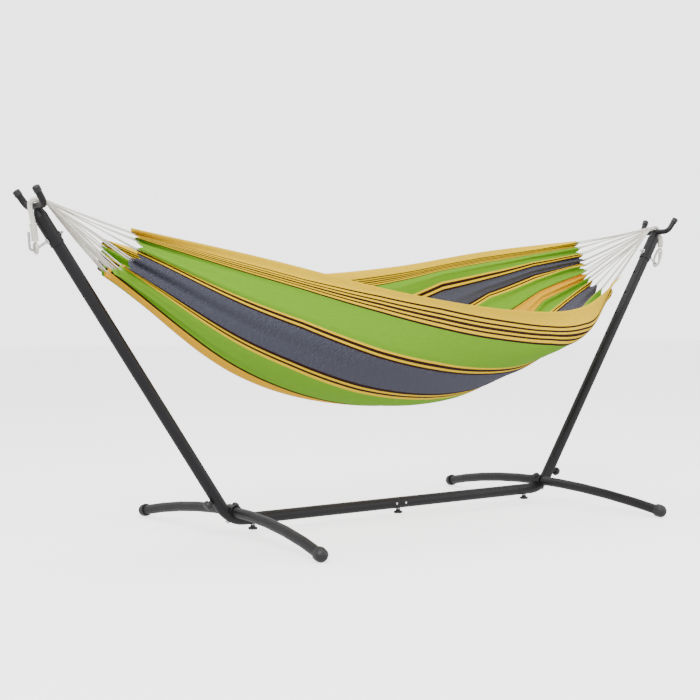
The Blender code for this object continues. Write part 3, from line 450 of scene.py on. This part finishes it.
# Each eye's centre, the direction of its long way, and its radius along that and across it.
eyes = {
    "left": (Vector((1.3315, -0.004, 0.9242)), Vector((0.004, -0.012, 0.030)), 0.0146, 0.0130),
    "right": (Vector((1.3345, -0.006, 0.9467)), Vector((0.019, -0.012, 0.070)), 0.0370, 0.0158),
}
for side, way in (("left", -1), ("right", 1)):
    mirror = Matrix.Diagonal((way, 1, 1))
    arc = [crossbar + over * Vector((-math.cos(math.radians(turn)), 0, math.sin(math.radians(turn))))
           for turn in (64, 90, 112, 134, 158, 184)]
    route = [Vector((throat_inner - 0.004, 0, swing_height))]
    route += [Vector((throat_inner + 0.010, 0, swing_height))]
    route += arc + [Vector(point) for point in falls[side]]
    path, length = evenly([mirror @ point for point in route], 110)
    ahead = np.gradient(path, axis=0)
    ahead /= np.linalg.norm(ahead, axis=1)[:, None]
    sideways = np.cross(np.array([[0, 1.0, 0]]), ahead)
    sideways /= np.linalg.norm(sideways, axis=1)[:, None]
    upwards = np.cross(ahead, sideways)
    run = np.linspace(0, length, len(path))
    parts = [rope_grid(path, length, 0.0028, 10)]
    for strand in range(6):
        turn = math.pi / 3 * strand + 2 * math.pi * run / 0.16
        around = path + 0.0052 * (sideways * np.cos(turn)[:, None] + upwards * np.sin(turn)[:, None])
        parts.append(rope_grid(around, length, 0.0027, 10))
    neck = merged("harness_neck_" + side + "_strands", parts, cord_cotton)
    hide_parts("harness_throat_" + side, "harness_neck_" + side)
    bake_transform(neck)

    # The whipping is turns of cord wound tightly side by side round the bundle.
    low = [point for point in path if point[2] < whipped_from[side] and abs(point[0]) > 1.335]
    low = [low[0], low[len(low) // 3], low[2 * len(low) // 3], low[-1]]
    whip_path, whip_length = evenly(low, 150)
    turns = max(6, round(whip_length / 0.0048))
    bulge = 0.0088 + 0.0025 * np.abs(np.sin(math.pi * turns * np.linspace(0, 1, 150))) ** 0.7
    bulge[0] = bulge[-1] = 0.004
    whip = merged("whipping_" + side, [rope_grid(whip_path, whip_length, bulge, 24)], cord_cotton)
    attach(whip, "stand")

    # The eye is a closed ring of laid rope.
    centre, long_way, long_radius, short_radius = eyes[side]
    centre, long_way = mirror @ centre, (mirror @ long_way).normalized()
    short_way = (Vector((0, 1, 0)) - long_way * long_way.y).normalized()
    ring = [centre + long_way * long_radius * math.cos(turn) + short_way * short_radius * math.sin(turn)
            for turn in np.linspace(0, 2 * math.pi, 97)]
    ring = np.array(ring)
    steps = np.linalg.norm(np.diff(ring, axis=0), axis=1).sum()
    ahead = np.roll(ring[:-1], -1, axis=0) - np.roll(ring[:-1], 1, axis=0)
    ahead = np.vstack([ahead, ahead[:1]])
    ahead /= np.linalg.norm(ahead, axis=1)[:, None]
    flat = np.array(long_way.cross(short_way))[None, :]
    outward = np.cross(ahead, flat)
    turn = np.linspace(0, 2 * math.pi, 19)[None, :]
    along = np.linspace(0, steps, 97)[:, None]
    laid = round(steps / 0.016)
    lobes = np.abs(np.cos(1.5 * turn - 3 * math.pi * laid * along / steps))
    size = 0.0046 * (0.86 + 0.14 * lobes ** 0.7)
    points = (ring[:, None, :] + outward[:, None, :] * (np.cos(turn) * size)[:, :, None]
              + flat[None, :, :] * (np.sin(turn) * size)[:, :, None])
    points[:, -1] = points[:, 0]
    points[-1] = points[0]
    ring_uv = np.stack(np.broadcast_arrays(along, turn / (2 * math.pi)), axis=2)
    eye = merged("rope_eye_" + side, [(points, ring_uv)], cord_cotton)
    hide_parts("harness_eye_" + side)
    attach(eye, "stand")


# Floor and backdrop: a plain pale studio floor inside a white sphere. Neither lights the hammock, and the
# sphere casts no shadow.
floor_paint, tree, link, shader = new_material("pale_floor", 0.6)
shader.inputs["Base Color"].default_value = (0.86, 0.86, 0.86, 1)
shader.inputs["Emission Color"].default_value = (1, 1, 1, 1)
shader.inputs["Emission Strength"].default_value = 1.9
bm = bmesh.new()
bmesh.ops.create_grid(bm, x_segments=1, y_segments=1, size=40)
floor = mesh_piece("floor", bm, floor_paint)
white, tree, link, shader = new_material("white_backdrop", 1.0)
shader.inputs["Base Color"].default_value = (0, 0, 0, 1)
shader.inputs["Emission Color"].default_value = (1, 1, 1, 1)
shader.inputs["Emission Strength"].default_value = 3.2
bm = bmesh.new()
bmesh.ops.create_uvsphere(bm, u_segments=64, v_segments=32, radius=38)
backdrop = mesh_piece("backdrop", bm, white)
for plain in (floor, backdrop):
    plain.visible_diffuse = False
    plain.visible_glossy = False
backdrop.visible_shadow = False
backdrop.visible_transmission = False

# Light and camera: even white light all round, a large softbox high in front at the left, a weaker one at
# the right and one overhead. The camera stands in front at the left, a little above half the stand's height.
world = bpy.data.worlds.new("soft_white")
world.use_nodes = True
world.node_tree.nodes["Background"].inputs["Color"].default_value = (1.0, 1.0, 1.0, 1)
world.node_tree.nodes["Background"].inputs["Strength"].default_value = 1.2
bpy.context.scene.world = world


def softbox(name, place, aim, size, power):
    light = bpy.data.lights.new(name, "AREA")
    light.shape = "RECTANGLE"
    light.size, light.size_y = size
    light.energy = power
    made = bpy.data.objects.new(name, light)
    bpy.context.scene.collection.objects.link(made)
    made.location = place
    made.rotation_euler = (Vector(aim) - Vector(place)).to_track_quat("-Z", "Y").to_euler()


softbox("key", (-3.2, -3.0, 4.6), (0, 0, 0.6), (3.0, 3.0), 300)
softbox("fill", (4.0, -3.5, 2.6), (0, 0, 0.6), (3.0, 2.5), 70)
softbox("top", (0.5, 1.5, 4.8), (0, 0, 0.5), (4.0, 3.0), 130)

yaw, pitch, roll = math.radians(34.443), math.radians(1.231), math.radians(-0.604)
forward = Vector((math.sin(yaw) * math.cos(pitch), math.cos(yaw) * math.cos(pitch), -math.sin(pitch)))
level_right = Vector((math.cos(yaw), -math.sin(yaw), 0))
level_up = level_right.cross(forward)
right = level_right * math.cos(roll) + level_up * math.sin(roll)
up = -level_right * math.sin(roll) + level_up * math.cos(roll)
lens = bpy.data.cameras.new("camera")
lens.lens = 67.9
lens.sensor_width = 36
camera = bpy.data.objects.new("camera", lens)
bpy.context.scene.collection.objects.link(camera)
turned_to = Matrix((right, up, -forward)).transposed().to_4x4()
camera.matrix_world = Matrix.Translation((-2.787, -3.772, 0.696)) @ turned_to
bpy.context.scene.camera = camera
